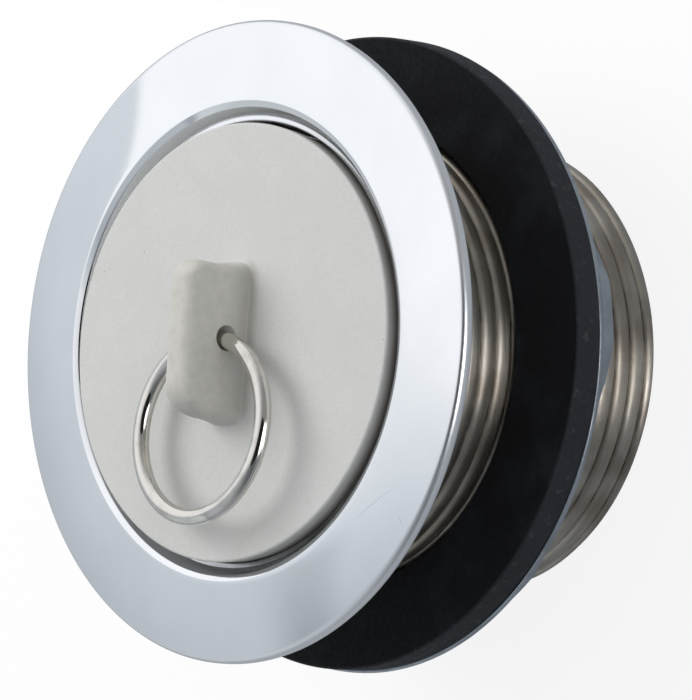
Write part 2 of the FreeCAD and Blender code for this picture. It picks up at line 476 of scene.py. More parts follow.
@dataclass(frozen=True)
class ChromePlate(Finish):
    """Bright chrome of the flange and the seat, with hairline scratches, a little orange peel, and painted
    shade low in the seat on its front side.
    """

    colour: Colour = (0.86, 0.875, 0.895)
    cloud_colour: Colour = (0.83, 0.845, 0.87)
    clouds: Noise = Noise(9.0 * MM, detail=4.0)
    cloud_span: Span = (0.35, 0.7)
    roughness: float = 0.045
    worn_roughness: float = 0.10
    worn_span: Span = (0.55, 0.8)
    peel: Noise = Noise(3.0 * MM, detail=1.0)
    peel_depth: float = 0.0015 * MM
    mark_colour: Colour = (0.35, 0.36, 0.38)
    dust: Specks = Specks(spacing=4.0 * MM, radius=0.05 * MM, share=0.35)
    scratches: tuple[Scratch, ...] = (
        Scratch((-19.4 * MM, -20.4 * MM), (-14.6 * MM, -27.4 * MM)),
        Scratch((-18.3 * MM, -27.0 * MM), (-19.5 * MM, -28.1 * MM)),
    )
    scratch_share: float = 0.4
    # Painted shade low in the seat on its front side: its colour, gloss and metal, and where it lies.
    seat_shade: Colour = (0.10, 0.098, 0.092)
    seat_shade_roughness: float = 0.42
    seat_shade_metal: float = 0.55
    seat_shade_side: Direction = (-0.35, -0.94, 0.0)
    seat_shade_reach: Span = (-6.0 * MM, 24.0 * MM)
    seat_shade_heights: Span = (1.7 * MM, 0.9 * MM)
    seat_shade_breakup: Noise = Noise(4.0 * MM)
    seat_shade_breakup_span: Span = (0.3, 0.7)
    seat_shade_least: float = 0.8
    mouth_radius: float = 26.0 * MM
    mouth_run: float = 0.5 * MM
    edge_radius: float = 34.1 * MM
    edge_run: float = 0.6 * MM
    edge_roughness: float = 0.3

    def dress(self, surface: Surface) -> None:
        """Clouds and scratches the chrome, dulls its outer edge and paints shade low in the seat on its
        front side.

        Args:
            surface: The surface to dress.
        """
        cloud = surface.noise(self.clouds)
        marks = surface.specks(self.dust)
        for scratch in self.scratches:
            line = surface.math("MULTIPLY", surface.scratch(scratch), self.scratch_share)
            marks = surface.math("MAXIMUM", marks, line)
        tone = surface.blend(surface.band(cloud, *self.cloud_span), self.colour, self.cloud_colour)
        radius = surface.radius()
        # Painted shade: the seat is darkened low down on its front side, in the gap round the plug, broken
        # up by noise.
        seat_shade = surface.math(
            "MULTIPLY",
            surface.band(radius, self.mouth_radius, self.mouth_radius - self.mouth_run),
            surface.band(surface.height(), *self.seat_shade_heights),
            surface.band(surface.along(surface.place, self.seat_shade_side), *self.seat_shade_reach),
            surface.band(surface.noise(self.seat_shade_breakup), *self.seat_shade_breakup_span, self.seat_shade_least, 1.0),
        )
        edge_end = self.edge_radius + self.edge_run
        surface.give(
            # The painted shade also dims the chrome's metal and raises its roughness.
            Metallic=surface.band(seat_shade, 0.0, 1.0, 1.0, self.seat_shade_metal),
            Base_Color=surface.blend(seat_shade, surface.blend(marks, tone, self.mark_colour), self.seat_shade),
            Roughness=surface.math(
                "MAXIMUM",
                surface.band(cloud, *self.worn_span, self.roughness, self.worn_roughness),
                surface.math("MULTIPLY", seat_shade, self.seat_shade_roughness),
                surface.band(radius, self.edge_radius, edge_end, 0.0, self.edge_roughness),
            ),
        )
        surface.emboss(surface.noise(self.peel), self.peel_depth)


@dataclass(frozen=True)
class NickelPlate(Finish):
    """Dull warm nickel of the tail, with turning marks, and dirt and painted shade darkening the roots of
    its thread.
    """

    colour: Colour = (0.53, 0.49, 0.425)
    stain: Colour = (0.36, 0.315, 0.26)
    blotches: Noise = Noise(6.0 * MM)
    blotch_span: Span = (0.38, 0.68)
    streaks: Noise = Noise(2.2 * MM, detail=5.0, grain=Grain.ROUND_AXIS)
    streak_span: Span = (0.45, 0.75)
    streak_share: float = 0.55
    roughness: float = 0.33
    rough_stain: float = 0.46
    rough_span: Span = (0.35, 0.75)
    turning_marks: float = 0.8
    turning_side: float = 0.25
    root_dirt_and_shade: Colour = (0.05, 0.043, 0.035)
    root_radius: float = 24.3 * MM
    root_dark_edge: float = 24.8 * MM
    grit: Noise = Noise(1.6 * MM, detail=4.0)
    grit_span: Span = (0.3, 0.7)
    ragged: float = 0.1 * MM
    bore_radius: float = 22.4 * MM
    bore_run: float = 0.4 * MM
    tool_marks: Noise = Noise(0.35 * MM, detail=2.0, grain=Grain.ROUND_AXIS)
    tool_depth: float = 0.010 * MM
    dents: Noise = Noise(1.4 * MM, detail=2.0)
    dent_depth: float = 0.012 * MM

    def dress(self, surface: Surface) -> None:
        """Stains and streaks the nickel, gives it turning marks and darkens its roots with dirt and painted
        shade.

        Args:
            surface: The surface to dress.
        """
        streaks = surface.noise(self.streaks)
        blotches = surface.band(surface.noise(self.blotches), *self.blotch_span)
        radius = surface.radius()
        grit = surface.band(surface.noise(self.grit), *self.grit_span, -self.ragged, self.ragged)
        # Dirt and painted shade: the thread's roots are darkened with a ragged edge, but not in the bore.
        root = surface.math(
            "MULTIPLY",
            surface.band(surface.math("ADD", radius, grit), self.root_dark_edge, self.root_radius),
            surface.band(radius, self.bore_radius, self.bore_radius + self.bore_run),
        )
        tone = surface.blend(blotches, self.colour, self.stain)
        streaked = surface.band(streaks, *self.streak_span, 0.0, self.streak_share)
        tone = surface.blend(streaked, tone, self.stain)
        surface.give(
            Metallic=1.0,
            Base_Color=surface.blend(root, tone, self.root_dirt_and_shade),
            Roughness=surface.band(streaks, *self.rough_span, self.roughness, self.rough_stain),
            Anisotropic=self.turning_marks,
            Anisotropic_Rotation=self.turning_side,
            Tangent=surface.turning(),
        )
        surface.emboss(surface.noise(self.tool_marks), self.tool_depth)
        surface.emboss(surface.noise(self.dents), self.dent_depth)


@dataclass(frozen=True)
class WireNickel(Finish):
    """Bright drawn wire of the pull ring."""

    colour: Colour = (0.72, 0.695, 0.655)
    dull: Colour = (0.58, 0.555, 0.515)
    wear: Noise = Noise(1.8 * MM, detail=4.0)
    wear_span: Span = (0.45, 0.75)
    roughness: float = 0.07
    dull_roughness: float = 0.2
    rough_span: Span = (0.4, 0.8)
    drawing: Noise = Noise(0.5 * MM, detail=2.0)
    drawing_depth: float = 0.0006 * MM

    def dress(self, surface: Surface) -> None:
        """Dulls the bright wire in patches.

        Args:
            surface: The surface to dress.
        """
        wear = surface.noise(self.wear)
        surface.give(
            Metallic=1.0,
            Base_Color=surface.blend(surface.band(wear, *self.wear_span), self.colour, self.dull),
            Roughness=surface.band(wear, *self.rough_span, self.roughness, self.dull_roughness),
        )
        surface.emboss(surface.noise(self.drawing), self.drawing_depth)


@dataclass(frozen=True)
class PaleRubber(Finish):
    """Matt pale grey rubber of the plug, with moulding mottle, dark pinholes, stains from use on the lug,
    and painted shade on its side down in the seat and round the lug's root.
    """

    colour: Colour = (0.615, 0.615, 0.595)
    shade: Colour = (0.595, 0.595, 0.57)
    mottle: Noise = Noise(5.0 * MM, detail=5.0)
    mottle_span: Span = (0.3, 0.7)
    grain_shade: Colour = (0.525, 0.525, 0.50)
    grain: Noise = Noise(0.28 * MM)
    grain_span: Span = (0.44, 0.7)
    grain_share: float = 0.42
    grain_depth: float = 0.024 * MM
    face: float = 2.9 * MM
    handled: Colour = (0.575, 0.56, 0.515)
    handled_shade: Colour = (0.525, 0.51, 0.465)
    wear: Noise = Noise(1.1 * MM, detail=6.0)
    wear_span: Span = (0.35, 0.72)
    # Painted shade on the plug's side, low down on its front side in the seat.
    seat_shade: Colour = (0.32, 0.295, 0.26)
    seat_shade_share: float = 0.8
    seat_shade_heights: Span = (1.9 * MM, 0.5 * MM)
    seat_shade_side: Direction = (-0.2, -0.98, 0.0)
    seat_shade_reach: Span = (-4.0 * MM, 16.0 * MM)
    side_radius: float = 23.2 * MM
    side_run: float = 0.25 * MM
    # Painted shade round the lug's root on its front side.
    lug_root_shade: Colour = (0.40, 0.385, 0.345)
    lug_root_shade_share: float = 0.75
    root_start: Span = (1.5 * MM, 2.8 * MM)
    root_end: Span = (4.6 * MM, 3.0 * MM)
    root_top: float = 6.0 * MM
    root_reach: float = 9.5 * MM
    root_run: float = 1.5 * MM
    speck: Colour = (0.16, 0.15, 0.14)
    speck_share: float = 0.85
    pits: Specks = Specks(spacing=2.4 * MM, radius=0.085 * MM, share=0.3)
    pit_depth: float = 0.05 * MM
    roughness: float = 0.62
    grain_roughness: float = 0.8
    rough_span: Span = (0.3, 0.8)
    gloss: float = 0.35

    def dress(self, surface: Surface) -> None:
        """Mottles the rubber, stains it where it is handled, and paints shade on the plug's front side down
        in the seat and round the lug's root.

        Args:
            surface: The surface to dress.
        """
        grain = surface.noise(self.grain)
        pits = surface.specks(self.pits)
        height = surface.height()
        radius = surface.radius()
        mottle = surface.band(surface.noise(self.mottle), *self.mottle_span)
        tone = surface.blend(mottle, self.colour, self.shade)
        grained = surface.band(grain, *self.grain_span, 0.0, self.grain_share)
        tone = surface.blend(grained, tone, self.grain_shade)
        wear = surface.band(surface.noise(self.wear), *self.wear_span)
        handled = surface.blend(wear, self.handled, self.handled_shade)
        tone = surface.blend(surface.band(height, self.face, 2 * self.face), tone, handled)
        # Painted shade: the plug's side is darkened low down on its front side, in the gap of the seat.
        seat_shade = surface.math(
            "MULTIPLY",
            surface.band(radius, self.side_radius, self.side_radius + self.side_run),
            surface.band(height, *self.seat_shade_heights, 0.0, self.seat_shade_share),
            surface.band(surface.along(surface.place, self.seat_shade_side), *self.seat_shade_reach),
        )
        tone = surface.blend(seat_shade, tone, self.seat_shade)
        # Painted shade: the lug's flank and the face beside it are darkened round the lug's root on its
        # front side.
        front = surface.along(surface.place, FRONT)
        root = surface.math(
            "MULTIPLY",
            surface.band(front, *self.root_start),
            surface.band(front, *self.root_end),
            surface.band(height, self.root_top, self.face),
            surface.band(radius, self.root_reach, self.root_reach - self.root_run, 0.0, self.lug_root_shade_share),
        )
        tone = surface.blend(root, tone, self.lug_root_shade)
        surface.give(
            Base_Color=surface.blend(surface.math("MULTIPLY", pits, self.speck_share), tone, self.speck),
            Roughness=surface.band(grain, *self.rough_span, self.roughness, self.grain_roughness),
            Specular_IOR_Level=self.gloss,
        )
        surface.emboss(grain, self.grain_depth)
        surface.emboss(surface.math("SUBTRACT", 1.0, pits), self.pit_depth)


@dataclass(frozen=True)
class BlackRubber(Finish):
    """Black rubber of the washer, cut from sheet, with dust, and with scuffs and a painted sheen on its
    rim.
    """

    colour: Colour = (0.0070, 0.0075, 0.0090)
    dust_and_sheen: Colour = (0.025, 0.028, 0.034)
    bloom: Noise = Noise(7.0 * MM, detail=4.0)
    bloom_span: Span = (0.45, 0.8)
    bloom_share: float = 0.6
    rim_radius: float = 34.6 * MM
    rim_run: float = 0.3 * MM
    # Dust and painted sheen on the rim.
    rim_dust_and_sheen: float = 0.75
    scuff: Colour = (0.065, 0.068, 0.074)
    scuffs: Noise = Noise(1.1 * MM, detail=6.0)
    scuff_span: Span = (0.58, 0.72)
    scuff_share: float = 0.5
    speck: Colour = (0.16, 0.16, 0.16)
    specks: Specks = Specks(spacing=1.9 * MM, radius=0.06 * MM, share=0.18)
    speck_share: float = 0.7
    roughness: float = 0.6
    skin: Noise = Noise(0.5 * MM, detail=4.0)
    skin_span: Span = (0.3, 0.7)
    skin_roughness: float = 0.78
    skin_depth: float = 0.02 * MM
    gloss: float = 0.16

    def dress(self, surface: Surface) -> None:
        """Dusts the rubber, lightens its rim with dust and a painted sheen, and scuffs its rim.

        Args:
            surface: The surface to dress.
        """
        skin = surface.noise(self.skin)
        rim = surface.band(surface.radius(), self.rim_radius, self.rim_radius + self.rim_run)
        bloom = surface.band(surface.noise(self.bloom), *self.bloom_span, 0.0, self.bloom_share)
        scuffs = surface.band(surface.noise(self.scuffs), *self.scuff_span)
        specks = surface.math("MULTIPLY", surface.specks(self.specks), self.speck_share)
        tone = surface.blend(bloom, self.colour, self.dust_and_sheen)
        # Dust and painted sheen: the whole rim is lighter and bluer than the faces.
        tone = surface.blend(surface.math("MULTIPLY", rim, self.rim_dust_and_sheen), tone, self.dust_and_sheen)
        tone = surface.blend(surface.math("MULTIPLY", scuffs, rim, self.scuff_share), tone, self.scuff)
        surface.give(
            Base_Color=surface.blend(specks, tone, self.speck),
            Roughness=surface.band(skin, *self.skin_span, self.roughness, self.skin_roughness),
            Specular_IOR_Level=self.gloss,
        )
        surface.emboss(skin, self.skin_depth)


@dataclass(frozen=True)
class ZincPlate(Finish):
    """Blue grey zinc on the slip ring and the backnut, clouded by handling."""

    colour: Colour = (0.45, 0.49, 0.53)
    cloud_colour: Colour = (0.33, 0.36, 0.39)
    clouds: Noise = Noise(3.5 * MM, detail=5.0)
    cloud_span: Span = (0.35, 0.7)
    roughness: float = 0.30
    dull_roughness: float = 0.5
    dull_span: Span = (0.3, 0.7)
    tool_marks: Noise = Noise(0.4 * MM, detail=2.0, grain=Grain.ROUND_AXIS)
    tool_depth: float = 0.006 * MM

    def dress(self, surface: Surface) -> None:
        """Clouds the zinc and gives it turning marks.

        Args:
            surface: The surface to dress.
        """
        cloud = surface.noise(self.clouds)
        surface.give(
            Metallic=1.0,
            Base_Color=surface.blend(surface.band(cloud, *self.cloud_span), self.colour, self.cloud_colour),
            Roughness=surface.band(cloud, *self.dull_span, self.roughness, self.dull_roughness),
        )
        surface.emboss(surface.noise(self.tool_marks), self.tool_depth)


class Workpiece:
    """A piece on the bench: one mesh and the operations that shape it."""

    def __init__(self) -> None:
        """Starts an empty mesh."""
        self.mesh = bmesh.new()

    def draw_section(self, corners: Iterable[Point]) -> list[bmesh.types.BMVert]:
        """Draws a closed section in the XZ plane.

        Args:
            corners: Radius and height of each corner.

        Returns:
            The corners' vertices, in the same order.
        """
        places = [self.mesh.verts.new((radius, 0.0, height)) for radius, height in corners]
        self.mesh.faces.new(places)
        return places

    def round_corner(self, corner: bmesh.types.BMVert, rounding: Round) -> None:
        """Rounds one corner of a flat outline.

        Args:
            corner: The corner's vertex.
            rounding: The arc.
        """
        one, other = (edge.other_vert(corner).co - corner.co for edge in corner.link_edges)
        bmesh.ops.bevel(
            self.mesh, geom=[corner], offset=rounding.radius / math.tan(one.angle(other) / 2),
            offset_type="OFFSET", affect="VERTICES", segments=rounding.steps, profile=0.5, material=-1,
        )

    def turn(self, steps: int) -> None:
        """Turns the section about the axis of the drain.

        Args:
            steps: How many flats the full turn has.
        """
        bmesh.ops.delete(self.mesh, geom=self.mesh.faces[:], context="FACES_ONLY")
        on_axis = [edge for edge in self.mesh.edges if all(vert.co.x < SEAM for vert in edge.verts)]
        for edge in on_axis:
            self.mesh.edges.remove(edge)
        bmesh.ops.spin(
            self.mesh, geom=self.mesh.verts[:] + self.mesh.edges[:], cent=(0, 0, 0), axis=DRAIN_AXIS,
            angle=math.tau, steps=steps, use_merge=True,
        )
        self.weld()

    def weld(self) -> None:
        """Joins doubled points and turns every face outwards."""
        bmesh.ops.remove_doubles(self.mesh, verts=self.mesh.verts[:], dist=SEAM)
        bmesh.ops.dissolve_degenerate(self.mesh, edges=self.mesh.edges[:], dist=SEAM)
        bmesh.ops.recalc_face_normals(self.mesh, faces=self.mesh.faces[:])

    def finish(self, name: str, material: bpy.types.Material, crease: float = CREASE) -> bpy.types.Object:
        """Puts the mesh into the scene as an object.

        Args:
            name: Name of the piece.
            material: Its material.
            crease: Angle above which an edge stays sharp.

        Returns:
            The new object.
        """
        mesh = bpy.data.meshes.new(name)
        self.mesh.to_mesh(mesh)
        self.mesh.free()
        mesh.shade_smooth()
        mesh.set_sharp_from_angle(angle=crease)
        mesh.materials.append(material)
        piece = bpy.data.objects.new(name, mesh)
        bpy.context.scene.collection.objects.link(piece)
        return piece


def only(kind: type, items: Iterable[object]) -> list:
    """Returns the items of one kind, in their order."""
    return [item for item in items if isinstance(item, kind)]


def even_shading(piece: bpy.types.Object) -> None:
    """Lets broad faces keep their own normals, so that mirror surfaces stay true beside small rounds."""
    modifier = piece.modifiers.new("even_shading", "WEIGHTED_NORMAL")
    modifier.keep_sharp = True


def mount(piece: bpy.types.Object, body: Body, node: str | None = None) -> None:
    """Lets a piece ride on a body.

    Args:
        piece: The piece.
        body: The body that carries it.
        node: The CAD node that it stands for, if any.
    """
    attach(piece, body.value)
    if node:
        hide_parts(node)
    log.info("%s rides on %s, %d faces", piece.name, body.value, len(piece.data.polygons))


def arc(start: Point, end: Point, rise: float, steps: int) -> list[Point]:
    """Draws a shallow arc.

    Args:
        start: Where the arc starts.
        end: Where it ends.
        rise: How far its middle stands off the straight line, to the left of the way from start to end.
        steps: How many edges the arc has.

    Returns:
        The points between start and end, without both.
    """
    first, last = Vector(start), Vector(end)
    along = last - first
    side = Vector((-along.y, along.x)).normalized()
    return [
        tuple(first + along * share + side * rise * 4 * share * (1 - share))
        for share in (step / steps for step in range(1, steps))
    ]


def quarter_round(radius: float, way: float) -> float:
    """Measures how far a quarter round stands off its flat side.

    Args:
        radius: Radius of the round.
        way: Distance from the side that the round ends on.

    Returns:
        The radius where the round ends, falling to 0 one radius away.
    """
    rest = min(radius, max(0.0, radius - way))
    return radius - math.sqrt(radius ** 2 - rest ** 2)


@dataclass
class Waste:
    """The plated body: flange and seat, threaded tail, and the strainer cross in its bore."""

    mouth_radius: float = 26.1 * MM
    mouth_round: Round = Round(0.15 * MM, 5)
    bevel_width: float = 0.62 * MM
    bevel_drop: float = 0.30 * MM
    lip_round: Round = Round(0.5 * MM, 8)
    lip_depth: float = 1.55 * MM
    face_crown: float = 0.10 * MM
    face_steps: int = 14
    flange_edge: float = 1.4 * MM
    flange_steps: int = 288
    edge_round: Round = Round(0.8 * MM, 12)
    under_round: Round = Round(0.35 * MM, 3)
    neck_radius: float = 27.6 * MM
    neck_foot: float = -5.0 * MM
    neck_fillet: Round = Round(0.6 * MM)
    shelf_radius: float = 24.7 * MM
    shelf_round: Round = Round(0.25 * MM, 5)
    shelf_rise: float = 0.05 * MM
    seat_radius: float = 24.05 * MM
    seat_round: Round = Round(0.15 * MM, 4)
    seat_foot_radius: float = 21.7 * MM
    ledge: float = -10.1 * MM
    bore_radius: float = 21.4 * MM
    bore_chamfer: float = 0.35 * MM
    core_radius: float = 23.6 * MM
    core_foot: float = -10.7 * MM
    crest_radius: float = 25.1 * MM
    crest_fullness: float = 3.0
    crest_steps: int = 14
    thread_depth: float = 1.1 * MM
    pitch: float = 2.309 * MM
    turns: int = 14
    turn_steps: int = 144
    spare_turns: int = 3
    turns_below: float = 1.5
    valley_height: float = -34.43 * MM
    valley_azimuth: float = -math.pi / 2
    tail_chamfer: float = 0.3 * MM
    tail_crease: float = math.radians(50)
    bar_width: float = 3.0 * MM
    bar_top: float = -11.6 * MM
    bar_foot: float = -15.6 * MM
    bar_root: float = 0.5 * MM
    bar_round: Round = Round(0.5 * MM, 4)

    def __post_init__(self) -> None:
        """Takes the outer sizes from the CAD node."""
        low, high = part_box("waste_body")
        self.flange_radius = high.x
        self.mouth = high.z
        self.tail_end = low.z
        self.tail_top = low.z + self.turns * self.pitch

    def build_flange(self, chrome: bpy.types.Material) -> bpy.types.Object:
        """Turns the flange with its crowned face, the lip and shelf of the seat, and the neck.

        Args:
            chrome: Its material.

        Returns:
            The flange.
        """
        work = Workpiece()
        mouth = (self.mouth_radius, self.mouth)
        edge = (self.flange_radius, self.flange_edge)
        face = arc(mouth, edge, self.face_crown, self.face_steps)
        corners = work.draw_section([
            mouth, *face, edge,
            (self.flange_radius, 0.0),
            (self.neck_radius, 0.0),
            (self.crest_radius, self.neck_foot),
            (self.core_radius, self.neck_foot - self.thread_depth),
            (self.core_radius, self.core_foot),
            (self.bore_radius, self.core_foot),
            (self.bore_radius, self.ledge),
            (self.seat_foot_radius, self.ledge),
            (self.seat_radius, self.mouth - self.lip_depth + self.shelf_rise),
            (self.shelf_radius, self.mouth - self.lip_depth),
            (self.mouth_radius - self.bevel_width, self.mouth - self.bevel_drop),
        ])
        rim = len(face) + 1
        for index, rounding in (
            (0, self.mouth_round),
            (-1, self.lip_round),
            (rim, self.edge_round),
            (rim + 1, self.under_round),
            (rim + 2, self.neck_fillet),
            (-3, self.seat_round),
            (-2, self.shelf_round),
        ):
            work.round_corner(corners[index], rounding)
        work.turn(self.flange_steps)
        flange = work.finish("flange_and_seat", chrome)
        even_shading(flange)
        return flange

    def thread_profile(self) -> list[Point]:
        """Draws one pitch of the thread, from root to root over a full round crest.

        Returns:
            Radius and height along the pitch.
        """
        places = []
        for step in range(self.crest_steps + 1):
            share = 0.5 - 0.5 * math.cos(math.pi * step / self.crest_steps)
            off_crest = abs(2 * share - 1) ** self.crest_fullness
            swell = (1 - off_crest) ** (1 / self.crest_fullness)
            places.append((self.crest_radius - self.thread_depth * (1 - swell), share * self.pitch))
        return places

    def sweep_thread(self, mesh: bmesh.types.BMesh) -> None:
        """Sweeps the thread along its helix, past both ends of the tail.

        Args:
            mesh: The tail's mesh, still empty.
        """
        places = [mesh.verts.new((radius, 0.0, height)) for radius, height in self.thread_profile()]
        for lower, upper in zip(places, places[1:]):
            mesh.edges.new((lower, upper))
        bmesh.ops.spin(
            mesh, geom=mesh.verts[:] + mesh.edges[:], cent=(0, 0, 0), axis=DRAIN_AXIS, angle=math.tau,
            steps=self.turn_steps, dvec=DRAIN_AXIS * (self.pitch / self.turn_steps),
        )
        first_turn = mesh.verts[:] + mesh.edges[:] + mesh.faces[:]
        for turn in range(1, self.turns + self.spare_turns):
            copy = bmesh.ops.duplicate(mesh, geom=first_turn)["geom"]
            verts = only(bmesh.types.BMVert, copy)
            bmesh.ops.translate(mesh, verts=verts, vec=DRAIN_AXIS * (turn * self.pitch))
        bmesh.ops.remove_doubles(mesh, verts=mesh.verts[:], dist=RIM_SEAM)
        drop = math.ceil((self.valley_height - self.tail_end) / self.pitch + self.turns_below) * self.pitch
        bmesh.ops.rotate(mesh, verts=mesh.verts[:], matrix=Matrix.Rotation(self.valley_azimuth, 3, "Z"))
        bmesh.ops.translate(mesh, verts=mesh.verts[:], vec=DRAIN_AXIS * (self.valley_height - drop))

    def trim_thread(self, mesh: bmesh.types.BMesh) -> None:
        """Cuts the thread square at both ends and chamfers its foot.

        Args:
            mesh: The tail's mesh.
        """
        for level, outward in ((self.tail_end, -DRAIN_AXIS), (self.tail_top, DRAIN_AXIS)):
            bmesh.ops.bisect_plane(
                mesh, geom=mesh.verts[:] + mesh.edges[:] + mesh.faces[:], dist=SEAM,
                plane_co=DRAIN_AXIS * level, plane_no=outward, clear_outer=True,
            )
        for vert in mesh.verts:
            limit = self.crest_radius - max(0.0, self.tail_chamfer - (vert.co.z - self.tail_end))
            reach = vert.co.xy.length
            if reach > limit:
                vert.co.xy *= limit / reach

    def build_tail(self, nickel: bpy.types.Material) -> bpy.types.Object:
        """Sweeps and trims the thread, then closes it round the bore.

        Args:
            nickel: Its material.

        Returns:
            The tail.
        """
        work = Workpiece()
        mesh = work.mesh
        self.sweep_thread(mesh)
        self.trim_thread(mesh)
        rims = [edge for edge in mesh.edges if edge.is_boundary]
        foot, head = (
            [edge for edge in rims if all(abs(vert.co.z - level) < RIM_SEAM for vert in edge.verts)]
            for level in (self.tail_end, self.tail_top)
        )
        for radius, height in (
            (self.bore_radius + self.bore_chamfer, self.tail_end),
            (self.bore_radius, self.tail_end + self.bore_chamfer),
            (self.bore_radius, self.core_foot),
            (self.core_radius, self.core_foot),
            (self.core_radius, self.tail_top),
        ):
            foot = self.extend_rim(mesh, foot, radius, height)
        bmesh.ops.bridge_loops(mesh, edges=foot + head)
        work.weld()
        return work.finish("threaded_tail", nickel, self.tail_crease)

    @staticmethod
    def extend_rim(
        mesh: bmesh.types.BMesh, rim: list[bmesh.types.BMEdge], radius: float, height: float,
    ) -> list[bmesh.types.BMEdge]:
        """Grows an open rim to a circle of the given radius and height.

        Args:
            mesh: The mesh.
            rim: Edges of the open rim.
            radius: Radius of the new rim.
            height: Height of the new rim.

        Returns:
            Edges of the new rim.
        """
        grown = bmesh.ops.extrude_edge_only(mesh, edges=rim)["geom"]
        for vert in only(bmesh.types.BMVert, grown):
            vert.co.xy *= radius / vert.co.xy.length
            vert.co.z = height
        return [edge for edge in only(bmesh.types.BMEdge, grown) if edge.is_boundary]

    def build_strainer(self, nickel: bpy.types.Material) -> bpy.types.Object:
        """Grows the four bars of the strainer cross out of one block and rounds their edges.

        Args:
            nickel: Its material.

        Returns:
            The cross.
        """
        work = Workpiece()
        mesh = work.mesh
        depth = self.bar_top - self.bar_foot
        block = Matrix.Translation(DRAIN_AXIS * (self.bar_top + self.bar_foot) / 2)
        block @= Matrix.Diagonal((self.bar_width, self.bar_width, depth, 1.0))
        bmesh.ops.create_cube(mesh, size=1.0, matrix=block)
        sides = [face for face in mesh.faces if round(face.normal.z) == 0]
        reach = self.bore_radius + self.bar_root - self.bar_width / 2
        for face in sides:
            outward = face.normal.copy()
            grown = bmesh.ops.extrude_discrete_faces(mesh, faces=[face])["faces"]
            bmesh.ops.translate(mesh, verts=grown[0].verts[:], vec=outward * reach)
        long_edges = [
            edge for edge in mesh.edges
            if edge.calc_length() > self.bar_width * 2 and len(edge.link_faces) == 2
        ]
        bmesh.ops.bevel(
            mesh, geom=long_edges, offset=self.bar_round.radius, offset_type="OFFSET", affect="EDGES",
            segments=self.bar_round.steps, profile=0.5, material=-1,
        )
        work.weld()
        return work.finish("strainer_cross", nickel)

    def build(self) -> None:
        """Makes the three pieces of the body and mounts them."""
        nickel = NickelPlate().paint("tail_nickel")
        flange = self.build_flange(ChromePlate().paint("flange_chrome"))
        mount(flange, Body.WASTE, "waste_body")
        for piece in (self.build_tail(nickel), self.build_strainer(nickel)):
            mount(piece, Body.WASTE)


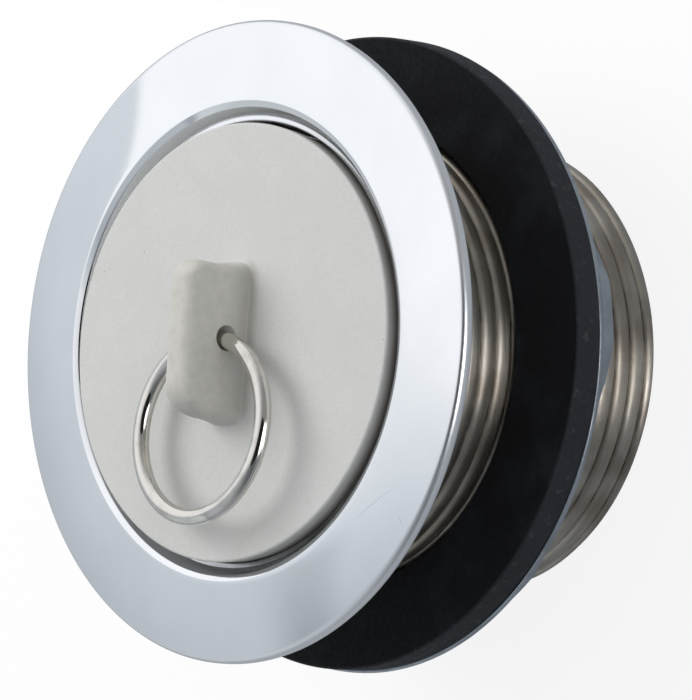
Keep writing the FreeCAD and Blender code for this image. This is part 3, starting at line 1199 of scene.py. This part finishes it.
@dataclass
class Plug:
    """The rubber plug with its moulded lug, pierced for the ring. It sits a little askew in its seat."""

    top_radius: float = 23.95 * MM
    waist_radius: float = 23.75 * MM
    head: float = 2.3 * MM
    foot_radius: float = 21.15 * MM
    height: float = 12.5 * MM
    edge_round: Round = Round(0.3 * MM)
    recess_radius: float = 16.5 * MM
    recess_draft: float = 1.2 * MM
    recess_depth: float = 5.0 * MM
    lug_length: float = 17.8 * MM
    lug_thickness: float = 3.6 * MM
    lug_height: float = 7.9 * MM
    lug_shift: float = -0.2 * MM
    lug_corner: Round = Round(1.3 * MM, 8)
    lug_low_round: float = 4.6 * MM
    lug_high_round: float = 2.5 * MM
    lug_edge_round: float = 1.3 * MM
    lug_draft: float = 0.9 * MM
    lug_waist: float = 0.5 * MM
    lug_fillet: float = 0.15 * MM
    lug_sink: float = 0.6 * MM
    lug_rows: int = 6
    round_rows: int = 14
    eye_radius: float = 0.98 * MM
    eye_bend: float = 7.5 * MM
    eye_steps: int = 24
    eye_height: float = 2.5 * MM
    lean_across: float = math.radians(1.35)
    lean_along: float = math.radians(1.32)
    settling: Place = (-0.34 * MM, 0.08 * MM, -0.09 * MM)
    turn_steps: int = 224

    def __post_init__(self) -> None:
        """Takes the heights from the CAD node."""
        self.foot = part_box("rubber_plug")[0].z
        self.face = self.foot + self.height

    def build_bung(self, rubber: bpy.types.Material) -> bpy.types.Object:
        """Turns the tapered plug with its hollow foot.

        Args:
            rubber: Its material.

        Returns:
            The plug without its lug.
        """
        work = Workpiece()
        roof = self.foot + self.recess_depth
        corners = work.draw_section([
            (0.0, self.face),
            (self.top_radius, self.face),
            (self.waist_radius, self.face - self.head),
            (self.foot_radius, self.foot),
            (self.recess_radius, self.foot),
            (self.recess_radius - self.recess_draft, roof),
            (0.0, roof),
        ])
        for corner in (corners[1], *corners[3:6]):
            work.round_corner(corner, self.edge_round)
        work.turn(self.turn_steps)
        self.settle(work)
        plug = work.finish("plug_rubber", rubber)
        even_shading(plug)
        return plug

    def settle(self, work: Workpiece) -> None:
        """Leans a piece of the plug about the middle of the plug's height, as it sits in its seat.

        Args:
            work: The piece.
        """
        middle = DRAIN_AXIS * (self.foot + self.height / 2)
        lean = Matrix.Rotation(self.lean_across, 4, "X") @ Matrix.Rotation(self.lean_along, 4, "Y")
        place = Matrix.Translation(middle + Vector(self.settling)) @ lean @ Matrix.Translation(-middle)
        bmesh.ops.transform(work.mesh, matrix=place, verts=work.mesh.verts[:])

    def lug_row(self, height: float) -> tuple[float, float, float]:
        """Works out the sizes of the lug at a height over the plug's face.

        Args:
            height: The height, from the root's 0 to the lug's full height.

        Returns:
            Half the length, half the thickness and the middle of the length along X.
        """
        rest = 1 - height / self.lug_height
        depth = self.lug_height - height
        flare = quarter_round(self.lug_fillet, height)
        low_loss = quarter_round(self.lug_low_round, depth)
        high_loss = quarter_round(self.lug_high_round, depth)
        edge_loss = quarter_round(self.lug_edge_round, depth)
        whole = self.lug_length / 2 - self.lug_waist * math.sin(math.pi * rest) + flare
        thickness = self.lug_thickness / 2 + self.lug_draft * rest + flare - edge_loss
        return whole - (low_loss + high_loss) / 2, thickness, (low_loss - high_loss) / 2

    def lug_levels(self) -> list[float]:
        """Spaces the lug's rows, close together where it is round.

        Returns:
            Their heights over the plug's face, from the lug's end to its root.
        """
        turns = [math.pi / 2 * row / self.round_rows for row in range(self.round_rows + 1)]
        end = [self.lug_height - self.lug_low_round * (1 - math.cos(turn)) for turn in turns]
        root = [self.lug_fillet * (1 - math.sin(turn)) for turn in turns]
        step = (end[-1] - root[0]) / self.lug_rows
        return end + [end[-1] - step * row for row in range(1, self.lug_rows)] + root

    def build_lug(self, rubber: bpy.types.Material) -> bpy.types.Object:
        """Draws the lug's plan, grows it from its rounded end down to its root and pierces the eye.

        Args:
            rubber: Its material.

        Returns:
            The lug.
        """
        work = Workpiece()
        mesh = work.mesh
        half_length, half_thickness = self.lug_length / 2, self.lug_thickness / 2
        plan = Matrix.Diagonal((half_length, half_thickness, 1.0, 1.0))
        corners = bmesh.ops.create_grid(mesh, x_segments=1, y_segments=1, size=1.0, matrix=plan)["verts"]
        for corner in corners:
            work.round_corner(corner, self.lug_corner)
        rim = mesh.edges[:]
        levels = self.lug_levels()
        self.place_row(mesh, mesh.verts[:], (half_length, half_thickness, 0.0), 0.0, levels[0])
        for above, below in zip(levels, levels[1:]):
            grown = bmesh.ops.extrude_edge_only(mesh, edges=rim)["geom"]
            self.place_row(mesh, only(bmesh.types.BMVert, grown), self.lug_row(above), above, below)
            rim = [edge for edge in only(bmesh.types.BMEdge, grown) if edge.is_boundary]
        grown = bmesh.ops.extrude_edge_only(mesh, edges=rim)["geom"]
        sunk = only(bmesh.types.BMVert, grown)
        bmesh.ops.translate(mesh, verts=sunk, vec=-DRAIN_AXIS * self.lug_sink)
        bmesh.ops.contextual_create(mesh, geom=[edge for edge in mesh.edges if edge.is_boundary])
        bmesh.ops.translate(mesh, verts=mesh.verts[:], vec=(self.lug_shift, 0.0, self.face))
        work.weld()
        self.settle(work)
        lug = work.finish("plug_lug", rubber)
        self.pierce(lug)
        return lug

    def place_row(
        self, mesh: bmesh.types.BMesh, verts: list[bmesh.types.BMVert], sizes: tuple[float, float, float],
        height: float, level: float,
    ) -> None:
        """Scales and moves a row of the lug to a level.

        Args:
            mesh: The lug's mesh.
            verts: The row.
            sizes: The half length, half thickness and middle that the row has.
            height: The height that the row has.
            level: Height over the plug's face that it gets, with the sizes that go with it.
        """
        length, thickness, middle = self.lug_row(level)
        bmesh.ops.translate(mesh, verts=verts, vec=(-sizes[2], 0.0, level - height))
        bmesh.ops.scale(mesh, verts=verts, vec=(length / sizes[0], thickness / sizes[1], 1.0))
        bmesh.ops.translate(mesh, verts=verts, vec=(middle, 0.0, 0.0))

    def pierce(self, lug: bpy.types.Object) -> None:
        """Cuts the eye through the lug, flared to both sides so that the bent wire has room to swing.

        Args:
            lug: The lug's object, whose mesh is replaced.
        """
        drill = Workpiece()
        reach = self.lug_thickness
        places = [reach * (2 * step / self.eye_steps - 1) for step in range(self.eye_steps + 1)]
        side = [(self.eye_radius + place * place / (2 * self.eye_bend), place) for place in places]
        drill.draw_section([(0.0, -reach), *side, (0.0, reach)])
        drill.turn(2 * self.eye_steps)
        across = Matrix.Translation(DRAIN_AXIS * (self.face + self.eye_height))
        across @= Matrix.Rotation(math.pi / 2, 4, "X")
        bmesh.ops.transform(drill.mesh, matrix=across, verts=drill.mesh.verts[:])
        tool = drill.finish("eye_drill", lug.data.materials[0])
        cut = lug.modifiers.new("eye", "BOOLEAN")
        cut.object = tool
        cut.solver = "EXACT"
        depsgraph = bpy.context.evaluated_depsgraph_get()
        pierced = bpy.data.meshes.new_from_object(lug.evaluated_get(depsgraph))
        lug.modifiers.clear()
        lug.data = pierced
        lug.data.name = lug.name
        bpy.data.objects.remove(tool)
        even_shading(lug)

    def build(self) -> None:
        """Makes the plug and its lug and mounts them."""
        rubber = PaleRubber().paint("plug_rubber")
        mount(self.build_bung(rubber), Body.PLUG, "rubber_plug")
        mount(self.build_lug(rubber), Body.PLUG)


@dataclass
class PullRing:
    """The wire ring through the eye of the lug."""

    radius: float = 9.8 * MM
    wire_radius: float = 0.92 * MM
    tilt: float = math.radians(5.8)
    yaw: float = math.radians(2.1)
    roll: float = math.radians(0.9)
    eye_level: float = 5.2 * MM
    turn_steps: int = 240
    wire_steps: int = 44

    def build(self) -> None:
        """Bends the wire into a ring, leans it as it hangs and mounts it."""
        work = Workpiece()
        mesh = work.mesh
        section = Matrix.Translation((self.radius, 0, 0)) @ Matrix.Rotation(math.pi / 2, 4, "X")
        bmesh.ops.create_circle(mesh, segments=self.wire_steps, radius=self.wire_radius, matrix=section)
        work.turn(self.turn_steps)
        hang = Matrix.Translation((0, 0, self.eye_level)) @ Matrix.Rotation(self.yaw, 4, "Z")
        hang @= Matrix.Rotation(self.tilt, 4, "Y")
        hang @= Matrix.Translation((-self.radius, 0, 0)) @ Matrix.Rotation(-self.roll, 4, "X")
        bmesh.ops.transform(mesh, matrix=hang, verts=mesh.verts[:])
        ring = work.finish("pull_ring_wire", WireNickel().paint("ring_nickel"))
        mount(ring, Body.RING, "pull_ring")


@dataclass
class Clamp:
    """What clamps the waste to the bath: rubber washer, slip ring and backnut on the tail."""

    washer_bore: float = 25.6 * MM
    washer_round: Round = Round(0.3 * MM, 4)
    slip_bore: float = 25.7 * MM
    slip_round: Round = Round(0.18 * MM, 4)
    nut_bore: float = 25.4 * MM
    nut_bore_chamfer: float = 0.6 * MM
    nut_flat: float = 30.0 * MM
    nut_corner: float = 32.8 * MM
    nut_chamfer: float = 0.7 * MM
    nut_chamfer_run: float = 1.4 * MM
    nut_edge_round: Round = Round(0.12 * MM, 3)
    nut_sides: int = 6
    nut_angle: float = math.radians(38.4)
    nut_steps: int = 384
    nut_crease: float = math.radians(24)
    turn_steps: int = 256

    def build_ring(
        self, node: str, name: str, bore: float, edge_round: Round, material: bpy.types.Material,
    ) -> bpy.types.Object:
        """Turns a flat ring where its CAD node lies.

        Args:
            node: The CAD node that gives its outer radius, heights and centre.
            name: Name of the piece.
            bore: Radius of its hole.
            edge_round: The round of its edges.
            material: Its material.

        Returns:
            The ring.
        """
        low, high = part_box(node)
        radius = (high.x - low.x) / 2
        work = Workpiece()
        corners = work.draw_section([(bore, low.z), (radius, low.z), (radius, high.z), (bore, high.z)])
        for corner in corners:
            work.round_corner(corner, edge_round)
        work.turn(self.turn_steps)
        centre = Vector(((high.x + low.x) / 2, (high.y + low.y) / 2, 0.0))
        bmesh.ops.translate(work.mesh, verts=work.mesh.verts[:], vec=centre)
        ring = work.finish(name, material)
        even_shading(ring)
        return ring

    def nut_radius(self, azimuth: float) -> float:
        """Returns the radius of the hexagon, corners not yet turned, at an azimuth."""
        side = math.tau / self.nut_sides
        return self.nut_flat / math.cos((azimuth - self.nut_angle) % side - side / 2)

    def build_nut(self, zinc: bpy.types.Material) -> bpy.types.Object:
        """Turns a blank, then cuts its flats and the bevel of its outer face.

        Args:
            zinc: Its material.

        Returns:
            The nut.
        """
        low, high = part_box("backnut")
        bevel_start = self.nut_corner - self.nut_chamfer_run
        work = Workpiece()
        bore = self.nut_bore
        break_edge = self.nut_edge_round.radius
        corners = work.draw_section([
            (bore, low.z + self.nut_bore_chamfer),
            (bore + self.nut_bore_chamfer, low.z),
            (bevel_start, low.z),
            (self.nut_corner, low.z + self.nut_chamfer),
            (self.nut_corner, high.z - break_edge),
            (self.nut_corner - break_edge, high.z),
            (bore + self.nut_bore_chamfer, high.z),
            (bore, high.z - self.nut_bore_chamfer),
        ])
        work.round_corner(corners[2], self.nut_edge_round)
        work.turn(self.nut_steps)
        for vert in work.mesh.verts:
            reach = vert.co.xy.length
            limit = self.nut_radius(math.atan2(vert.co.y, vert.co.x))
            if reach > limit:
                vert.co.xy *= limit / reach
                if vert.co.z < low.z + self.nut_chamfer + SEAM:
                    over = max(0.0, limit - bevel_start) / self.nut_chamfer_run
                    vert.co.z = low.z + self.nut_chamfer * over
        work.weld()
        return work.finish("backnut_zinc", zinc, self.nut_crease)

    def build(self) -> None:
        """Makes the washer, the slip ring and the nut and mounts them."""
        washer = self.build_ring(
            "sealing_washer", "washer_rubber", self.washer_bore, self.washer_round,
            BlackRubber().paint("washer_rubber"),
        )
        mount(washer, Body.SEAL, "sealing_washer")
        zinc = ZincPlate().paint("zinc")
        slip = self.build_ring("slip_ring", "slip_ring_zinc", self.slip_bore, self.slip_round, zinc)
        mount(slip, Body.SEAL, "slip_ring")
        mount(self.build_nut(zinc), Body.NUT, "backnut")


@dataclass
class Studio:
    """Floor, light and camera of the photograph."""

    floor_size: float = 3.0
    floor_gap: float = 0.05 * MM
    floor_white: float = 0.92
    floor_seen_share: float = 0.86
    floor_mirrored_share: float = 0.75
    floor_mirrored_glow: float = 0.26
    floor_mirrored_tint: Colour = (0.88, 0.97, 1.10)
    key_from: Direction = (0.36, 0.53, 0.77)
    key_distance: float = 0.55
    key_radius: float = 0.22
    key_power: float = 2.05
    ambient: float = 0.54
    front_fill: float = 1.55
    front_dim: float = 0.28
    front_span: Span = (-0.7, 0.3)
    wall_tones: Tones = (
        (-1.0, (0.28, 0.30, 0.33)),
        (-0.75, (0.66, 0.70, 0.72)),
        (-0.40, (0.66, 0.70, 0.72)),
        (-0.19, (0.565, 0.60, 0.645)),
        (-0.04, (0.63, 0.67, 0.715)),
        (0.06, (0.69, 0.73, 0.77)),
        (0.16, (0.73, 0.765, 0.805)),
        (1.0, (0.85, 0.875, 0.905)),
    )
    wall_fade: float = 0.12
    wall_fade_span: Span = (-0.06, -0.15)
    panel_tones: Tones = (
        (-1.0, (0.28, 0.30, 0.33)),
        (-0.75, (0.50, 0.53, 0.57)),
        (-0.16, (0.50, 0.53, 0.57)),
        (-0.10, (0.60, 0.635, 0.68)),
        (-0.05, (0.68, 0.715, 0.76)),
        (-0.02, (0.76, 0.79, 0.83)),
        (0.02, (0.88, 0.905, 0.935)),
        (0.05, (1.02, 1.03, 1.05)),
        (0.09, (1.06, 1.07, 1.09)),
    )
    panel_end: Direction = (1.0, -0.23, 0.0)
    panel_end_level: float = -0.143
    panel_top: Direction = (0.37, -1.0, 0.0)
    panel_top_level: float = -0.74
    panel_top_blur: Span = (0.022, 0.004)
    panel_blur_span: Span = (-0.05, 0.05)
    gap_dark: float = 0.22
    gap_top: Span = (-0.01, 0.025)
    gap_foot: Span = (0.07, 0.03)
    gap_end: Span = (-0.03, -0.06)
    window_from: Direction = (-0.09, -0.98, 0.12)
    window_spread: Span = (math.radians(20), math.radians(8))
    window_level: float = 4.6
    stand_spread: Span = (math.radians(31), math.radians(22))
    stand_edge: Span = (1.1, 0.85)
    stand_dark: float = 0.96
    camera_from: Place = (-33.965 * MM, -478.994 * MM, 440.132 * MM)
    camera_at: Place = (-0.375 * MM, -8.132 * MM, -7.286 * MM)
    camera_up: Direction = (0.997266, -0.000929, 0.073891)
    camera_lens: float = 308.571
    camera_sensor: float = 36.0
    camera_near: float = 10.0 * MM

    def __post_init__(self) -> None:
        """Works out the axes of the camera."""
        self.back = (Vector(self.camera_from) - Vector(self.camera_at)).normalized()
        self.right = Vector(self.camera_up).cross(self.back).normalized()
        self.up = self.back.cross(self.right)

    def build_floor(self) -> None:
        """Lays a pale floor under the tail that stays white for the camera and keeps a soft shadow."""
        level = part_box("waste_body")[0].z - self.floor_gap
        work = Workpiece()
        bmesh.ops.create_grid(
            work.mesh, x_segments=1, y_segments=1, size=self.floor_size / 2,
            matrix=Matrix.Translation(DRAIN_AXIS * level),
        )
        surface = Surface("studio_floor")
        surface.give(Base_Color=(self.floor_white,) * 3, Roughness=1.0, Specular_IOR_Level=0.0)
        path = surface.add("ShaderNodeLightPath").outputs
        mirrored = surface.math("MAXIMUM", path["Is Glossy Ray"], path["Is Transmission Ray"])
        glow = surface.add("ShaderNodeEmission")
        tint = surface.blend(mirrored, WHITE, self.floor_mirrored_tint)
        strength = surface.band(mirrored, 0.0, 1.0, 1.0, self.floor_mirrored_glow)
        surface.join(tint, glow.inputs["Color"])
        surface.join(strength, glow.inputs["Strength"])
        share = surface.math(
            "MAXIMUM",
            surface.math("MULTIPLY", path["Is Camera Ray"], self.floor_seen_share),
            surface.math("MULTIPLY", mirrored, self.floor_mirrored_share),
        )
        mixed = surface.shader_mix(share, surface.shader.outputs[0], glow.outputs[0])
        surface.join(mixed, surface.tree.nodes["Material Output"].inputs["Surface"])
        work.finish("studio_floor", surface.material)

    def room_tone(self, bench: NodeBench, along: Socket, below: Socket) -> Socket:
        """Colours the wall and the panel before it, whose upper edge is crisp except towards its end.

        Args:
            bench: The world's nodes.
            along: Where a direction lies along the panel, from 0 at its end.
            below: How far it lies below the panel's upper edge.

        Returns:
            The colour of the room.
        """
        blur = bench.band(along, *self.panel_blur_span, *self.panel_top_blur)
        on_panel = bench.band(bench.math("DIVIDE", below, blur), -1.0, 1.0)
        wall = bench.tones(along, self.wall_tones)
        panel = bench.tones(along, self.panel_tones)
        return bench.blend(on_panel, wall, panel)

    def room_shade(self, bench: NodeBench, along: Socket, below: Socket) -> Socket:
        """Darkens a gap below the panel's upper edge, and the wall above it.

        Args:
            bench: The world's nodes.
            along: Where a direction lies along the panel, from 0 at its end.
            below: How far it lies below the panel's upper edge.

        Returns:
            The share of the room's light that is lost.
        """
        gap = bench.math(
            "MULTIPLY",
            bench.band(below, *self.gap_top),
            bench.band(below, *self.gap_foot),
            bench.band(along, *self.gap_end, 0.0, self.gap_dark),
        )
        return bench.math("MAXIMUM", gap, bench.band(below, *self.wall_fade_span, 0.0, self.wall_fade))

    def stand_shade(self, bench: NodeBench, direction: Socket) -> Socket:
        """Darkens an oval where the photograph's camera stood.

        Args:
            bench: The world's nodes.
            direction: The direction of a ray.

        Returns:
            The share of the room's light that is lost.
        """
        wide, tall = (math.sin(angle) for angle in self.stand_spread)
        across = bench.math("POWER", bench.along(direction, self.right / wide), 2.0)
        upward = bench.math("POWER", bench.along(direction, self.up / tall), 2.0)
        spot = bench.band(bench.math("ADD", across, upward), *self.stand_edge, 0.0, self.stand_dark)
        facing = bench.math("GREATER_THAN", bench.along(direction, self.back), 0.0)
        return bench.math("MULTIPLY", spot, facing)

    def build_world(self) -> None:
        """Surrounds the waste with the room that its chrome mirrors.

        A white panel with a crisp upper edge stands before a blue grey wall. Towards its end the panel
        fades, and there is a darker gap below its edge. A window is low in front, and the camera on its
        stand makes one dark spot. The camera itself sees plain white.
        """
        world = bpy.data.worlds.new("studio")
        bpy.context.scene.world = world
        world.use_nodes = True
        bench = NodeBench(world.node_tree)
        direction = bench.add("ShaderNodeTexCoord").outputs["Generated"]
        path = bench.add("ShaderNodeLightPath").outputs
        mirrored = path["Is Glossy Ray"]
        along = bench.math("SUBTRACT", bench.along(direction, self.panel_end), self.panel_end_level)
        below = bench.math("SUBTRACT", bench.along(direction, self.panel_top), self.panel_top_level)
        stand = bench.math("MULTIPLY", self.stand_shade(bench, direction), mirrored)
        shade = bench.math("MAXIMUM", self.room_shade(bench, along, below), stand)
        front = bench.band(mirrored, 0.0, 1.0, self.front_fill, self.front_dim)
        light = bench.math(
            "MULTIPLY",
            bench.math("SUBTRACT", 1.0, shade),
            bench.band(bench.along(direction, BACK), *self.front_span, front, 1.0),
            bench.band(mirrored, 0.0, 1.0, self.ambient, 1.0),
        )
        far, near = (math.cos(angle) for angle in self.window_spread)
        towards = bench.along(direction, Vector(self.window_from).normalized())
        window = bench.math("MULTIPLY", bench.band(towards, far, near, 0.0, self.window_level), mirrored)
        room = bench.tree.nodes["Background"]
        bench.join(self.room_tone(bench, along, below), room.inputs["Color"])
        bench.join(bench.math("ADD", light, window), room.inputs["Strength"])
        white = bench.add("ShaderNodeBackground")
        white.inputs["Color"].default_value = (*WHITE, 1.0)
        mixed = bench.shader_mix(path["Is Camera Ray"], room.outputs[0], white.outputs[0])
        bench.join(mixed, bench.tree.nodes["World Output"].inputs["Surface"])

    def build_key(self) -> None:
        """Hangs a round soft lamp on the side that the shadows of the lug and the ring fall away from."""
        lamp = bpy.data.lights.new("key_lamp", "AREA")
        lamp.shape = "DISK"
        lamp.size = 2 * self.key_radius
        lamp.energy = self.key_power
        key = bpy.data.objects.new("key_lamp", lamp)
        bpy.context.scene.collection.objects.link(key)
        towards = Vector(self.key_from).normalized()
        turn = towards.to_track_quat("Z", "Y").to_matrix().to_4x4()
        key.matrix_world = Matrix.Translation(towards * self.key_distance) @ turn
        key.visible_glossy = False

    def build_camera(self) -> None:
        """Sets the camera where the photograph was taken, turned so that the lug stands upright."""
        camera = bpy.data.cameras.new("photo_camera")
        camera.lens = self.camera_lens
        camera.sensor_width = self.camera_sensor
        camera.clip_start = self.camera_near
        view = bpy.data.objects.new("photo_camera", camera)
        bpy.context.scene.collection.objects.link(view)
        turn = Matrix((self.right, self.up, self.back)).transposed().to_4x4()
        view.matrix_world = Matrix.Translation(self.camera_from) @ turn
        bpy.context.scene.camera = view

    def build(self) -> None:
        """Sets up floor, world, lamp and camera."""
        self.build_floor()
        self.build_world()
        self.build_key()
        self.build_camera()
        bpy.context.scene.view_settings.view_transform = "Standard"


def main() -> None:
    """Builds the waste piece by piece, then the studio round it."""
    logging.basicConfig(level=logging.INFO, format="%(name)s: %(message)s")
    for assembly in (Waste(), Plug(), PullRing(), Clamp(), Studio()):
        assembly.build()
        log.info("%s is done", type(assembly).__name__)


if __name__ == "__main__":
    main()
